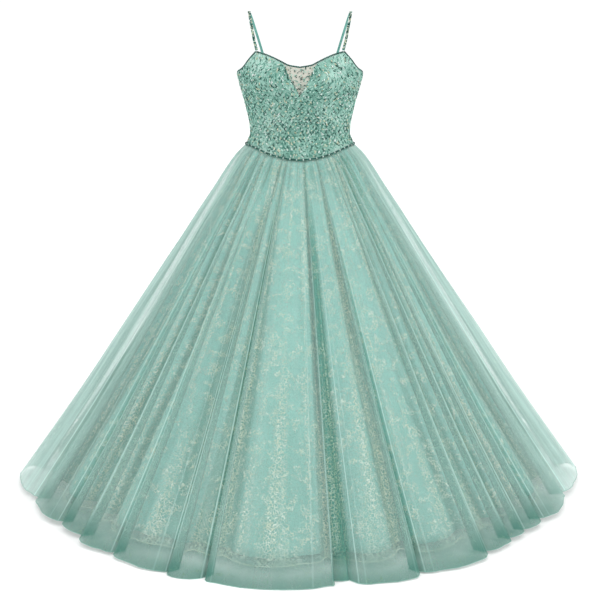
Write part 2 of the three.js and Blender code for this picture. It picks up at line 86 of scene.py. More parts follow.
TORSO = table(
    "height side front back",
    (-60, 166, 96, 88), (-100, 169, 106, 92), (-160, 173, 125, 102), (-190, 167, 130, 104),
    (-225, 157, 122, 102), (-264, 147.5, 111, 99), (-305, 139.5, 103, 98), (-326, 138.6, 101, 98),
    (-347, 146, 106, 103), (-362, 152, 111, 107), (-400, 166, 124, 119),
)
NECKLINE = table(
    "angle height",
    (0, -144), (14, -139), (23, -130), (35, -118), (45, -109.5), (STRAP_CORNER, -103),
)
ARMHOLE = table(
    "angle height",
    (STRAP_CORNER, -103), (62, -126), (66, -140), (71, -149), (SIDE_SEAM, -160),
)
BACK_EDGE = table(
    "angle height",
    (SIDE_SEAM, -160), (105, -172), (125, -183), (139, -187), (160, -191), (180, -192),
)
WAIST_SEAM = table(
    "angle height",
    (0, -395), (18, -391), (37, -381), (54, -368), (69, -360), (90, -358), (135, -365), (180, -370),
)
FLARE = table(
    "fall tulle satin",
    (0, 0, 0), (0.027, 0.036, 0.029), (0.065, 0.077, 0.065), (0.12, 0.13, 0.114), (0.22, 0.23, 0.207),
    (0.37, 0.374, 0.342), (0.54, 0.538, 0.5), (0.74, 0.732, 0.712), (1, 1, 1),
)
FOLDS = table(
    "start valley tulle satin lift",
    (-95, 750, 46, 22, 8), (-81, 750, 62, 26, 10), (-63, 752, 44, 22, 13), (-50, 758, 30, 8, 14),
    (-42.5, 758, 40, 20, 12), (-33.5, 765, 38, 26, 8), (-21.5, 772, 40, 10, 2), (-15.2, 768, 46, 30, 0),
    (5.5, 772, 8, 2, 2), (8.2, 772, 42, 24, 1), (19.5, 765, 46, 28, 4), (33.5, 760, 36, 14, 9),
    (40.5, 754, 28, 8, 12), (45.5, 754, 32, 10, 13), (51.5, 752, 46, 24, 13), (64.5, 748, 60, 26, 18),
    (82, 748, 46, 22, 12), (95, 746, 58, 26, 9), (112, 750, 36, 12, 12), (121, 750, 58, 28, 6),
    (139, 752, 32, 10, 8), (147, 752, 56, 28, 3), (165, 752, 50, 24, 5), (180, 750, 60, 30, 2),
    (200, 754, 36, 12, 6), (209, 754, 46, 20, 4), (221, 750, 30, 8, 10), (228, 748, 58, 28, 7),
    (246, 748, 60, 26, 6),
)
FOLD_ENDS = np.append(FOLDS["start"][1:], FOLDS["start"][0] + FULL_TURN)


def smooth(rows, key, column, at):
    """A smooth curve through a table's rows that never overshoots them."""
    order = np.argsort(rows[key])
    x, y = rows[key][order], rows[column][order]
    steps = np.diff(y) / np.diff(x)
    before, after = np.append(steps[0], steps), np.append(steps, steps[-1])
    bends = before * after > 0
    slope = np.where(bends, 2 * before * after / np.where(bends, before + after, 1), 0)
    at = np.clip(at, x[0], x[-1])
    i = np.clip(np.searchsorted(x, at), 1, len(x) - 1) - 1
    span = x[i + 1] - x[i]
    t = (at - x[i]) / span
    blend = 3 * t**2 - 2 * t**3
    level = (1 - blend) * y[i] + blend * y[i + 1]
    return level + (t**3 - 2 * t**2 + t) * span * slope[i] + (t**3 - t**2) * span * slope[i + 1]


def torso_radius(angle, height):
    """The bodice's outer face, measured from the body's axis."""
    sine, cosine = np.abs(np.sin(np.radians(angle))), np.cos(np.radians(angle))
    side = smooth(TORSO, "height", "side", height)
    front, back = (smooth(TORSO, "height", name, height) for name in ("front", "back"))
    depth = np.where(cosine > 0, front, back)
    power = TORSO_SQUARENESS
    plain = ((sine / side) ** power + (np.abs(cosine) / depth) ** power) ** (-1 / power)
    sideways = (np.abs(angle) - CUP["angle"]) / CUP["spread_angle"]
    upward = (height - CUP["height"]) / CUP["spread_height"]
    return plain + CUP["swell"] * np.exp(-(sideways**2) - upward**2)


def around_body(angle, radius, height):
    turn = np.radians(angle)
    return np.stack(np.broadcast_arrays(radius * np.sin(turn), -radius * np.cos(turn), height), -1)


def torso_point(angle, height, depth=0.0):
    """Points at a depth inside the bodice's outer face."""
    nudge = 0.05
    angle, height, depth = np.broadcast_arrays(*(np.asarray(v, float) for v in (angle, height, depth)))
    here, before, after = (
        around_body(turned, torso_radius(turned, height), height)
        for turned in (angle, angle - nudge, angle + nudge)
    )
    along = unit(after - before)
    out = np.stack([along[..., 1], -along[..., 0], np.zeros_like(height)], -1)
    return here - out * depth[..., None]


def unit(vectors):
    return vectors / np.linalg.norm(vectors, axis=-1, keepdims=True)


def edge_height(angle):
    """Height of the bodice's top edge."""
    away = np.abs(angle)
    neck = smooth(NECKLINE, "angle", "height", away)
    arm = smooth(ARMHOLE, "angle", "height", away)
    back = smooth(BACK_EDGE, "angle", "height", away)
    return np.where(away <= STRAP_CORNER, neck, np.where(away <= SIDE_SEAM, arm, back))


def under_piping(angle):
    """Height of the bodice wall's top, clear of the piping on it."""
    clear = PIPING_RADIUS + PIPING_GAP
    reach = np.degrees(clear / torso_radius(angle, edge_height(angle)))
    shares = (-0.9, -0.6, -0.3, 0, 0.3, 0.6, 0.9)
    heights = [
        edge_height(np.abs(angle) + share * reach) - PIPING_RADIUS - clear * math.sqrt(1 - share**2)
        for share in shares
    ]
    return np.min(heights, axis=0)


def seam_height(angle):
    return smooth(WAIST_SEAM, "angle", "height", np.abs(angle))


def notch_height(angle):
    top = float(edge_height(np.array(NOTCH["angle"])))
    return NOTCH["tip"] + (top - NOTCH["tip"]) / NOTCH["angle"] * np.abs(angle)


def fold_at(angle):
    """Index of the fold at an angle, its width and the share of it before the angle."""
    starts = FOLDS["start"]
    turned = np.where(angle < starts[0], angle + FULL_TURN, angle)
    index = np.clip(np.searchsorted(starts, turned + 1e-9, side="right") - 1, 0, None)
    width = FOLD_ENDS[index] - starts[index]
    return index, width, (turned - starts[index]) / width


def along_folds(angle, column):
    index, _, share = fold_at(angle)
    value = FOLDS[column]
    return value[index] + (np.roll(value, -1)[index] - value[index]) * share**2 * (3 - 2 * share)


# Corner of a tulle lobe: where its steep flank turns into its broad top
CORNER = {"share": 0.14, "height": 0.6}


def soft_lobe(share):
    """A satin lobe: a broad rounded crest between narrow hollows."""
    return ((1 - np.cos(2 * np.pi * share)) / 2) ** 0.7


def crisp_lobe(share):
    near = np.minimum(share, 1 - share)
    flank = CORNER["height"] * (near / CORNER["share"]) ** 0.9
    over = np.clip((near - CORNER["share"]) / (0.5 - CORNER["share"]), 0, 1)
    top = CORNER["height"] + (1 - CORNER["height"]) * np.sin(over * np.pi / 2)
    return np.where(near < CORNER["share"], flank, top)


SATIN = {
    "fold": "satin", "flare": "satin", "hem": -1258, "inset": 3.8, "gather": 0.04, "pinch": 0.35,
    "valley": lambda at: 689, "lobe": soft_lobe, "fuller": 8, "lean": 0,
}
LACE = {**SATIN, "hem": -1272, "inset": 2.1, "valley": lambda at: 704}
TULLE = {
    "fold": "tulle", "flare": "tulle", "hem": -1290, "inset": 0, "gather": 0.09, "pinch": 0.88,
    "valley": lambda at: along_folds(at, "valley"), "lobe": crisp_lobe, "fuller": 0, "lean": 1.1,
}


def lean_of(at):
    """Folds lean away from centre front and centre back, so that each overlaps the next one outwards."""
    side = np.sin(np.radians(at))
    return side / (np.abs(side) + 0.12)


def skirt_point(layer, at, fall, out=0.0):
    """Outer face of a skirt layer. at counts degrees along the folds and fall runs from waist to hem."""
    index, width, share = fold_at(at)
    true_angle = at - width * layer["pinch"] * np.sin(2 * np.pi * share) / (2 * np.pi)
    folded = (true_angle + 180) % FULL_TURN - 180
    seam = seam_height(folded)
    waist = torso_radius(folded, seam) - layer["inset"]
    spread = smooth(FLARE, "fall", layer["flare"], fall)
    lobe = (FOLDS[layer["fold"]][index] + layer["fuller"]) * layer["lobe"](share)
    stands_out = lobe * (layer["gather"] + (1 - layer["gather"]) * spread)
    radius = waist + (layer["valley"](at) - waist) * spread + stands_out
    slide = np.degrees(layer["lean"] * lean_of(at) * stands_out / radius)
    top = seam - SEAM_GAP
    height = top + (layer["hem"] + along_folds(at, "lift") - top) * fall
    return around_body(true_angle + slide, radius + out, height)


# Mesh helpers
def piece(name, points, faces, material, smooth_shading=True, body="gown"):
    """A mesh object from points in millimetres, riding on a body."""
    mesh = bpy.data.meshes.new(name)
    points = np.asarray(points, float).reshape(-1, 3) * MM
    mesh.from_pydata(points.tolist(), [], [list(map(int, face)) for face in faces])
    mesh.polygons.foreach_set("use_smooth", [smooth_shading] * len(mesh.polygons))
    mesh.materials.append(material)
    mesh.update()
    made = bpy.data.objects.new(name, mesh)
    bpy.context.scene.collection.objects.link(made)
    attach(made, body)
    return made


def grid_faces(rows, columns, closed):
    """Quads of a grid whose rows run down and whose columns run anticlockwise seen from above."""
    across = columns if closed else columns - 1
    row, column = np.meshgrid(np.arange(rows - 1), np.arange(across), indexing="ij")
    following = (column + 1) % columns
    quads = [row * columns + column, (row + 1) * columns + column,
             (row + 1) * columns + following, row * columns + following]
    return np.stack(quads, -1).reshape(-1, 4)


def cloth(name, points, material, closed=False, thickness=0.0, lining=None, attributes=None):
    """A sheet of cloth from a grid of points, thickened inwards where it has a thickness."""
    rows, columns = points.shape[:2]
    made = piece(name, points, grid_faces(rows, columns, closed), material)
    for label, values in (attributes or {}).items():
        kind, field = ("FLOAT_VECTOR", "vector") if values.ndim == 3 else ("FLOAT", "value")
        attribute = made.data.attributes.new(label, kind, "POINT")
        attribute.data.foreach_set(field, values.astype(np.float32).ravel())
    if lining:
        made.data.materials.append(lining)
    if thickness:
        wall = made.modifiers.new("cloth_thickness", "SOLIDIFY")
        wall.thickness = thickness * MM
        wall.offset = -1
        wall.use_even_offset = False
        wall.material_offset = 1 if lining else 0
    return made


def frames(path, across):
    """Along, first and second axes at each point of a path."""
    path = np.asarray(path, float)
    along = unit(np.gradient(path, axis=0))
    second = unit(np.cross(along, across))
    return along, np.cross(second, along), second


def ring_faces(rings, sides, closed=False):
    """Quads between rings of points, one ring after another."""
    i, j = np.meshgrid(np.arange(rings if closed else rings - 1), np.arange(sides), indexing="ij")
    here, there, turned = i * sides, (i + 1) % rings * sides, (j + 1) % sides
    return np.stack([here + j, here + turned, there + turned, there + j], -1).reshape(-1, 4)


def tube(path, radius, sides, closed=False, across=(0, 0, 1)):
    """Points and faces of a round tube along a path."""
    path = np.asarray(path, float)
    if closed:
        wrapped = np.concatenate([path[-1:], path, path[:1]])
        _, first, second = (axis[1:-1] for axis in frames(wrapped, across))
    else:
        _, first, second = frames(path, across)
    turn = 2 * np.pi * np.arange(sides) / sides
    radius = np.broadcast_to(radius, len(path))[:, None, None]
    ring = np.cos(turn)[None, :, None] * first[:, None] + np.sin(turn)[None, :, None] * second[:, None]
    points = path[:, None] + radius * ring
    return points.reshape(-1, 3), ring_faces(len(path), sides, closed)


def copies(template, places):
    """Many copies of a template's points and faces. places has an origin, three axes and a size each."""
    points, faces = template
    points, faces = np.asarray(points, float), np.asarray(faces)
    origin, axes, size = places
    moved = origin[:, None] + np.einsum("pk,nkc->npc", points, axes) * size[:, None, None]
    shifted = faces[None] + (np.arange(len(origin)) * len(points))[:, None, None]
    return moved.reshape(-1, 3), shifted.reshape(-1, faces.shape[1])


def joined(*parts):
    """Several sets of points and faces as one."""
    points, faces, count = [], [], 0
    for part_points, part_faces in parts:
        points.append(np.asarray(part_points, float))
        faces.extend((np.asarray(part_faces) + count).tolist())
        count += len(part_points)
    return np.concatenate(points), faces


def lathe(profile, sides):
    """Points and faces of a shape turned about its first axis, from (along, radius) pairs."""
    turn = 2 * np.pi * np.arange(sides) / sides
    rings = [[(x, r * math.cos(t), r * math.sin(t)) for t in turn] for x, r in profile]
    return np.array(rings).reshape(-1, 3), ring_faces(len(profile), sides)


# Materials
FLOW_DOWN = 0.09
SMOOTH = {"interpolation_type": "SMOOTHSTEP"}
# Sockets and settings of a Mix node that blends two colours
SHARE, FIRST, SECOND = 0, 6, 7
BLEND = {"output": 2, "data_type": "RGBA"}


def linear(colour):
    """An sRGB hex colour as the linear RGBA that shaders take."""
    channels = [int(colour[i : i + 2], 16) / 255 for i in (1, 3, 5)]
    return [c / 12.92 if c <= 0.04045 else ((c + 0.055) / 1.055) ** 2.4 for c in channels] + [1]


def add_node(tree, kind, inputs=(), output=0, **settings):
    """Adds a node and gives one of its outputs. Inputs are values, hex colours or outputs to link."""
    made = tree.nodes.new(f"ShaderNode{kind}")
    for name, value in settings.items():
        setattr(made, name, value)
    for name, value in inputs.items() if isinstance(inputs, dict) else enumerate(inputs):
        socket = made.inputs[name]
        if isinstance(value, bpy.types.NodeSocket):
            tree.links.new(value, socket)
        else:
            socket.default_value = linear(value) if isinstance(value, str) else value
    return made.outputs[output]


def finish_of(name, **values):
    """A material with values on its shader's own sockets, the shader, and add_node for this material."""
    material = bpy.data.materials.new(name)
    material.use_nodes = True
    shader = material.node_tree.nodes["Principled BSDF"]
    for key, value in values.items():
        shader.inputs[key.replace("_", " ")].default_value = value
    return material, shader, partial(add_node, material.node_tree)


def wire(shader, **outputs):
    """Links nodes' outputs into the shader's sockets."""
    for key, output in outputs.items():
        shader.id_data.links.new(output, shader.inputs[key.replace("_", " ")])


def every(millimetres, where, **inputs):
    """Inputs of a texture whose pattern repeats every so many millimetres."""
    return {"Vector": where, "Scale": 1 / (millimetres * MM), **inputs}


def two_tones(add, here, millimetres, detail, span, first, second):
    """Soft patches of a second colour on a first. span is where the noise turns from one into the other."""
    share = add("TexNoise", every(millimetres, here, Detail=detail))
    share = add("MapRange", (share, *span), **SMOOTH)
    return add("Mix", {SHARE: share, FIRST: first, SECOND: second}, **BLEND)


# Polyester satin: smooth floating threads give a soft broad sheen, and painted shade darkens it in the folds
# and towards the hem
def polyester_satin(name, light, deep, hollow):
    material, shader, add = finish_of(
        name, Roughness=0.42, Specular_IOR_Level=0.35,
        Sheen_Weight=0.25, Sheen_Roughness=0.4, Sheen_Tint=linear("#E4F3EC"),
    )
    here = add("TexCoord", output="Object")
    colour = two_tones(add, here, 60, 3, (0.35, 0.7), deep, light)
    # Painted shade: the satin darkens deep in its folds
    depth = add("Attribute", output="Fac", attribute_name="hollow")
    depth = add("MapRange", (depth, 0.4, 0.9), **SMOOTH)
    colour = add("Mix", {SHARE: depth, FIRST: colour, SECOND: hollow}, **BLEND)
    # Painted shade: the skirt's satin darkens a little towards the hem
    along = add("Attribute", output="Vector", attribute_name="flow")
    low = add("SeparateXYZ", (along,), "Z")
    low = add("MapRange", (low, 0.45 * FLOW_DOWN, 0.95 * FLOW_DOWN, 0, 0.34), **SMOOTH)
    colour = add("Mix", {SHARE: low, FIRST: colour, SECOND: hollow}, **BLEND)
    # Thread spacing is 0.1 mm; it is drawn at 1.2 mm, as coarse as it needs to show
    weave = add("TexNoise", every(1.2, here, Detail=1))
    relief = add("Bump", {"Height": weave, "Distance": 0.06 * MM}, "Normal")
    wire(shader, Base_Color=colour, Normal=relief)
    return material


def cord_loops(add, here, size, width, wander):
    """Loops of thin cord, in millimetres: the walls of small cells, pulled about."""
    pull = add("TexNoise", every(1.7 * size, here, Detail=1), "Color")
    reach = (wander * size * MM,) * 3
    moved = add("VectorMath", (pull, reach, here), operation="MULTIPLY_ADD")
    cells = every(size, moved)
    walls = add("TexVoronoi", cells, "Distance", feature="DISTANCE_TO_EDGE")
    return add("MapRange", (walls, 0.25 * width / size, 0.75 * width / size, 1, 0), **SMOOTH)


def flower_lines(add, here, spacing, radius, width):
    """Outlines of small five-petalled flowers with a stitched centre, in millimetres."""
    cells = every(spacing, here, Randomness=0.9)
    middle = add("TexVoronoi", cells, "Position")
    away = add("VectorMath", (here, middle), operation="SUBTRACT")
    length = add("VectorMath", (away,), "Value", operation="LENGTH")
    upward = add("SeparateXYZ", (away,), "Z")
    upward = add("Math", (upward, length), operation="DIVIDE")
    turn = add("Math", (upward,), operation="ARCCOSINE")
    turn = add("Math", (turn, 2.5), operation="MULTIPLY")
    petal = add("Math", (turn,), operation="COSINE")
    petal = add("Math", (petal,), operation="ABSOLUTE")
    half = 0.5 * radius * MM
    rim = add("Math", (petal, half, half), operation="MULTIPLY_ADD")
    off = add("Math", (length, rim), operation="SUBTRACT")
    off = add("Math", (off,), operation="ABSOLUTE")
    outline = add("MapRange", (off, 0.3 * width * MM, 0.8 * width * MM, 1, 0), **SMOOTH)
    centre = add("MapRange", (length, 0.15 * radius * MM, 0.3 * radius * MM, 1, 0), **SMOOTH)
    return add("Math", (outline, centre), operation="MAXIMUM")


# Metallic-thread lace: cream cord on a fine net, in vines, small flowers and dense streaks of loops, painted
# a darker gold deep in the folds as shade
def metallic_thread_lace(name, net_alpha, cord_alpha, coverage):
    material, shader, add = finish_of(name, Roughness=0.4, Specular_IOR_Level=0.7)
    here = add("TexCoord", output="Object")
    along = add("Attribute", output="Vector", attribute_name="flow")
    # Cord is 0.6 mm thick and drawn at 1 mm, as coarse as it needs to show
    loops = cord_loops(add, here, 6.8, 1.0, 1.5)
    flowers = flower_lines(add, here, 19, 7, 1.1)
    cords = add("Math", (loops, flowers), operation="MAXIMUM")
    streaks = add("TexNoise", {"Vector": along, "Scale": 16, "Detail": 3, "Distortion": 0.2})
    streaks = add("MapRange", (streaks, 0.41, 0.68), **SMOOTH)
    patches = add("TexNoise", every(26, here, Detail=2))
    patches = add("MapRange", (patches, 0.42, 0.62, 0, 0.75), **SMOOTH)
    worked = add("Math", (streaks, patches), operation="MAXIMUM")
    worked = add("MapRange", (worked, 0, 1, coverage, 1), **SMOOTH)
    thread = add("Math", (cords, worked), operation="MULTIPLY")
    cream = two_tones(add, here, 9, 1, (0.42, 0.6), "#DDE2C6", "#F6FAEC")
    # Painted shade: the cord turns a darker gold deep in the folds
    depth = add("Attribute", output="Fac", attribute_name="hollow")
    gold_shade = add("MapRange", (depth, 0.6, 0.95, 0, 0.8), **SMOOTH)
    metallic = add("Mix", {SHARE: gold_shade, FIRST: cream, SECOND: "#BCC49C"}, **BLEND)
    colour = add("Mix", {SHARE: thread, FIRST: "#9CC6BC", SECOND: metallic}, **BLEND)
    alpha = add("Math", (thread, cord_alpha - net_alpha, net_alpha), operation="MULTIPLY_ADD")
    relief = add("Bump", {"Height": thread, "Distance": 0.3 * MM}, "Normal")
    wire(shader, Base_Color=colour, Alpha=alpha, Normal=relief)
    return material


# Nylon tulle: an open net that veils what is behind it, denser along pressed fold edges, with a painted pale
# highlight there and painted shade in its hollows and towards the hem
def nylon_tulle(name, colours, base_alpha, sides, hem):
    material, shader, add = finish_of(
        name, Roughness=0.6, Specular_IOR_Level=0.25,
        Sheen_Weight=0.15, Sheen_Roughness=0.35, Sheen_Tint=linear("#EAF6F1"),
    )
    here = add("TexCoord", output="Object")
    crease = add("Attribute", output="Fac", attribute_name="crease")
    depth = add("Attribute", output="Fac", attribute_name="hollow")
    along = add("Attribute", output="Vector", attribute_name="flow")
    sideways, down = (add("SeparateXYZ", (along,), axis) for axis in "XZ")
    streak = add("TexNoise", {"Vector": along, "Scale": 38, "Detail": 3})
    streak = add("MapRange", (streak, 0.35, 0.7), **SMOOTH)
    # Cells of the net are 1 mm; they are drawn at 2.2 mm, as coarse as they need to show
    cells = every(2.2, here)
    net = add("TexVoronoi", cells, "Distance", feature="DISTANCE_TO_EDGE")
    mesh = add("MapRange", (net, 0.04, 0.16, 1, 0), **SMOOTH)
    # The gathers are fuller at the sides, and several layers of net lie together at the hem, where shade is
    # painted too
    sideways = add("Math", (sideways,), operation="ABSOLUTE")
    beside = add("MapRange", (sideways, 0.8, 0.94), **SMOOTH)
    gathers = add("Math", (streak, beside), operation="MULTIPLY")
    open_front = add("Math", (1, beside), operation="SUBTRACT")
    low = add("MapRange", (down, 0.9 * FLOW_DOWN, 0.99 * FLOW_DOWN), **SMOOTH)
    low = add("Math", (low, open_front), operation="MULTIPLY")
    # Hollows, with their painted shade, show less at the sides, and pressed edges, with their painted
    # highlight, less at the hem
    shown = add("Math", (beside, -0.6, 1), operation="MULTIPLY_ADD")
    valley = add("MapRange", (depth, 0.45, 0.95), **SMOOTH)
    valley = add("Math", (valley, shown), operation="MULTIPLY")
    shown = add("Math", (low, -0.6, 1), operation="MULTIPLY_ADD")
    crease = add("Math", (crease, shown), operation="MULTIPLY")
    # Stray metallic threads, 0.3 mm thick and drawn at 1 mm
    wavy = every(26, here, Detail=1.5, Distortion=1.2)
    off = add("Math", (add("TexNoise", wavy), 0.5), operation="SUBTRACT")
    off = add("Math", (off,), operation="ABSOLUTE")
    stray = add("MapRange", (off, 0.002, 0.011, 0.22, 0), **SMOOTH)
    alpha = base_alpha
    for layer, weight in (
        (mesh, 0.07), (streak, 0.06), (valley, 0.14), (crease, 0.4),
        (low, hem), (beside, sides), (gathers, 0.18), (stray, 1),
    ):
        alpha = add("Math", (layer, weight, alpha), operation="MULTIPLY_ADD")
    # Painted light: shade in the hollows and towards the hem, and a pale highlight along the pressed edges
    colour = colours["crest"]
    for layer, tint in (
        (valley, colours["valley"]), (low, colours["hem"]), (crease, colours["edge"]), (stray, "#8F9A66"),
    ):
        colour = add("Mix", {SHARE: layer, FIRST: colour, SECOND: tint}, **BLEND)
    relief = add("Bump", {"Height": mesh, "Distance": 0.2 * MM}, "Normal")
    wire(shader, Base_Color=colour, Alpha=alpha, Normal=relief)
    return material


# Glass bead: clear, lined or dyed glass, glossy with small bright highlights
def glass_bead(name, light, deep, metallic=0.0, roughness=0.22):
    material, shader, add = finish_of(
        name, Roughness=roughness, Metallic=metallic, Specular_IOR_Level=0.35, Coat_Weight=0.12
    )
    here = add("TexCoord", output="Object")
    wire(shader, Base_Color=two_tones(add, here, 6, 0.5, (0.4, 0.6), deep, light))
    return material


# Woven cloth in plain thread: linings, bindings and the nude mesh
def woven_cloth(name, light, deep, thread, roughness=0.75):
    material, shader, add = finish_of(name, Roughness=roughness, Specular_IOR_Level=0.25, Sheen_Weight=0.2)
    here = add("TexCoord", output="Object")
    colour = two_tones(add, here, 45, 2, (0.35, 0.65), deep, light)
    weave = add("TexVoronoi", every(thread, here), "Distance")
    weave = add("MapRange", (weave, 0, 0.5, 1, 0), **SMOOTH)
    relief = add("Bump", {"Height": weave, "Distance": 0.12 * MM}, "Normal")
    wire(shader, Base_Color=colour, Normal=relief)
    return material


# Zinc alloy, nickel plated and polished, with faint brushing
def plated_zinc(name):
    material, shader, add = finish_of(name, Metallic=1.0)
    here = add("TexCoord", output="Object")
    brushed = add("TexNoise", every(0.8, here, Detail=2))
    brushed = add("MapRange", (brushed, 0.3, 0.7, 0.2, 0.34), **SMOOTH)
    colour = two_tones(add, here, 8, 1, (0.3, 0.7), "#B9BDBB", "#D5D8D6")
    wire(shader, Base_Color=colour, Roughness=brushed)
    return material


# The last colour of each satin is the painted shade for its folds and hem
MINT_SATIN = polyester_satin("polyester_satin_mint", "#7FBDB3", "#77B4AA", "#3C8172")
BODICE_SATIN = polyester_satin("polyester_satin_bodice", "#A6CDC0", "#79AA9B", "#6FA697")
LINING = woven_cloth("polyester_lining_mint", "#A9D0C5", "#9BC4B8", 1.4)
NUDE_MESH = woven_cloth("nylon_mesh_nude", "#C3C3B8", "#AEB5A9", 1.8)
LACE_CLOTH = metallic_thread_lace("metallic_thread_lace", 0.03, 0.84, 0.2)
# crest is the tulle's own colour; valley and hem are painted shade, edge a painted pale highlight
TULLE_TONE_AND_PAINTED_LIGHT = {"crest": "#B9DAD2", "valley": "#579182", "edge": "#C6E8E1", "hem": "#4F877A"}
TULLE_NET = nylon_tulle("nylon_tulle_mint", TULLE_TONE_AND_PAINTED_LIGHT, 0.21, 0.24, 0.42)
TULLE_BINDING = woven_cloth("nylon_thread_teal", "#8DB9AD", "#7AA89B", 0.9)
LACE_CORD = woven_cloth("metallic_cord_cream", "#EEF2E2", "#D9DCC0", 0.9, 0.45)
BEAD_CORE = woven_cloth("cotton_cord_teal", "#2A5F54", "#1D4A40", 0.9)
BEADS = {
    "dark_green": glass_bead("glass_beads_dark_green", "#27655A", "#0F4038"),
    "sea_green": glass_bead("glass_beads_sea_green", "#85B8AA", "#528E7F"),
    "mint": glass_bead("glass_beads_mint", "#BDE3D7", "#93C8B8"),
    "silver": glass_bead("glass_beads_silver_lined", "#EEF6F2", "#C5D6CF", 0.2, 0.35),
    "cream": glass_bead("glass_beads_cream", "#DEDBC2", "#B9BB9C", 0.0, 0.3),
}
ZIP_COIL = woven_cloth("nylon_zip_coil", "#96C2B5", "#84B2A4", 0.7, 0.4)
ZIP_METAL = plated_zinc("zinc_alloy_nickel_plated")


# Skirt layers
def gathers(at, fall, count, size, reach):
    """Small uneven gathers that start at the waist seam and die out down the skirt, at reach of the fall."""
    turn = np.radians(at)
    wander = 1.3 * np.sin(5 * turn + 0.7) + 0.8 * np.sin(11 * turn + 2.1) + 0.5 * np.sin(17 * turn)
    height = np.sin(count * turn + wander)
    start = np.clip(fall / 0.02, 0, 1)
    return size * height * start * np.exp(-((fall / reach) ** 2))


CREASE_GROWTH = 0.25


def creases(at, fall, rows):
    """Soft troughs and ridges: size is how far one stands out, and top the fall it starts at."""
    total = np.zeros(np.broadcast_shapes(at.shape, fall.shape))
    for angle, size, half, top in zip(*(rows[k] for k in ("angle", "size", "half", "top"))):
        away = (at - angle + 180) % FULL_TURN - 180
        grow = np.clip((fall - top) / CREASE_GROWTH, 0, 1)
        total = total + size * np.exp(-((away / half) ** 2)) * grow
    return total


def flow_of(at, fall):
    """Where a point lies along the folds, for patterns that run down them."""
    turn = np.radians(at)
    return np.stack(np.broadcast_arrays(np.sin(turn), np.cos(turn), FLOW_DOWN * fall), -1)


SATIN_CREASES = table(
    "angle size half top",
    (-88, -5, 1.6, 0.1), (-81, 7, 2.5, 0.1), (-75, -4, 1.5, 0.2), (-69, 5, 3.0, 0.1), (-63, 11, 3.0, 0.1),
    (-52, -11, 2.2, 0.05), (-46, 5, 1.8, 0.15), (-42, -6, 1.3, 0.1), (-33.5, 24, 3.0, 0.05),
    (-27, -22, 2.3, 0.05), (-23.2, 7, 1.4, 0.1), (-19, -14, 1.9, 0.05), (-9, 6, 3.5, 0.05),
    (-1, -6, 1.3, 0.1), (2.6, 5, 1.1, 0.2), (5.2, -12, 1.1, 0.05), (8.6, 6, 1.3, 0.1),
    (15.5, 4, 2.5, 0.1), (21.3, -14, 1.8, 0.05), (30, 6, 2.5, 0.1), (33.8, 13, 2.2, 0.05),
    (37.2, -6, 1.4, 0.1), (41, 6, 1.8, 0.15), (47, -8, 1.8, 0.05), (52, 6, 2.2, 0.2), (58, 4, 2.0, 0.1),
    (64.5, 9, 2.5, 0.15), (69.5, -4, 1.6, 0.1), (82, 8, 2.5, 0.1), (88, -5, 1.5, 0.15), (95, 7, 2.4, 0.1),
    (108, -10, 2.2, 0.1), (117, -6, 1.8, 0.1), (129, -8, 2.0, 0.1), (139, 9, 2.4, 0.2),
    (153, -9, 2.0, 0.15), (165, 12, 2.6, 0.1), (173, -9, 2.0, 0.1), (186, -6, 1.6, 0.1),
    (194, -8, 1.9, 0.2), (209, 9, 2.6, 0.05), (217, -8, 1.8, 0.15), (228, 8, 2.2, 0.1),
    (238, -9, 2.0, 0.2), (246, 9, 2.5, 0.1), (255, -7, 1.9, 0.1),
)
TULLE_CREASES = table(
    "angle size half top",
    (-86, -6, 1.1, 0.2), (-73, 5, 0.9, 0.1), (-67, -5, 0.9, 0.3), (-57, -6, 0.8, 0.2), (-39, 4, 0.6, 0.2),
    (-36.5, -5, 0.6, 0.3), (-28, -6, 0.8, 0.2), (-11, 4, 0.6, 0.1), (-8.6, -5, 0.7, 0.2),
    (1.2, -5, 0.7, 0.1), (3.2, 4, 0.6, 0.3), (12.5, -5, 0.8, 0.2), (16, 4, 0.7, 0.3), (24, -5, 0.8, 0.2),
    (29, 4, 0.7, 0.2), (37, -5, 0.7, 0.2), (56, 5, 0.8, 0.2), (59.5, -5, 0.8, 0.3), (71, -6, 0.9, 0.2),
    (76, 5, 0.9, 0.3), (89, -6, 1.0, 0.2), (101, 5, 1.0, 0.2), (106, -5, 0.9, 0.3), (127, -6, 1.0, 0.2),
    (133, 5, 0.9, 0.3), (154, -6, 0.9, 0.2), (159, 4, 0.8, 0.3), (173, -5, 0.9, 0.2), (188, 5, 0.9, 0.2),
    (193, -6, 0.9, 0.3), (214, -5, 0.8, 0.2), (235, 5, 0.9, 0.3), (239, -5, 0.9, 0.2),
    (254, -6, 0.9, 0.2), (259, 5, 0.9, 0.3),
)
# Columns of points at shares of each fold: even in the satin, closer together at the tulle's crisp corners
SOFT_SHARES = np.arange(24) / 24
CREASE_HALF = 2.1
HEM_RADIUS = 790


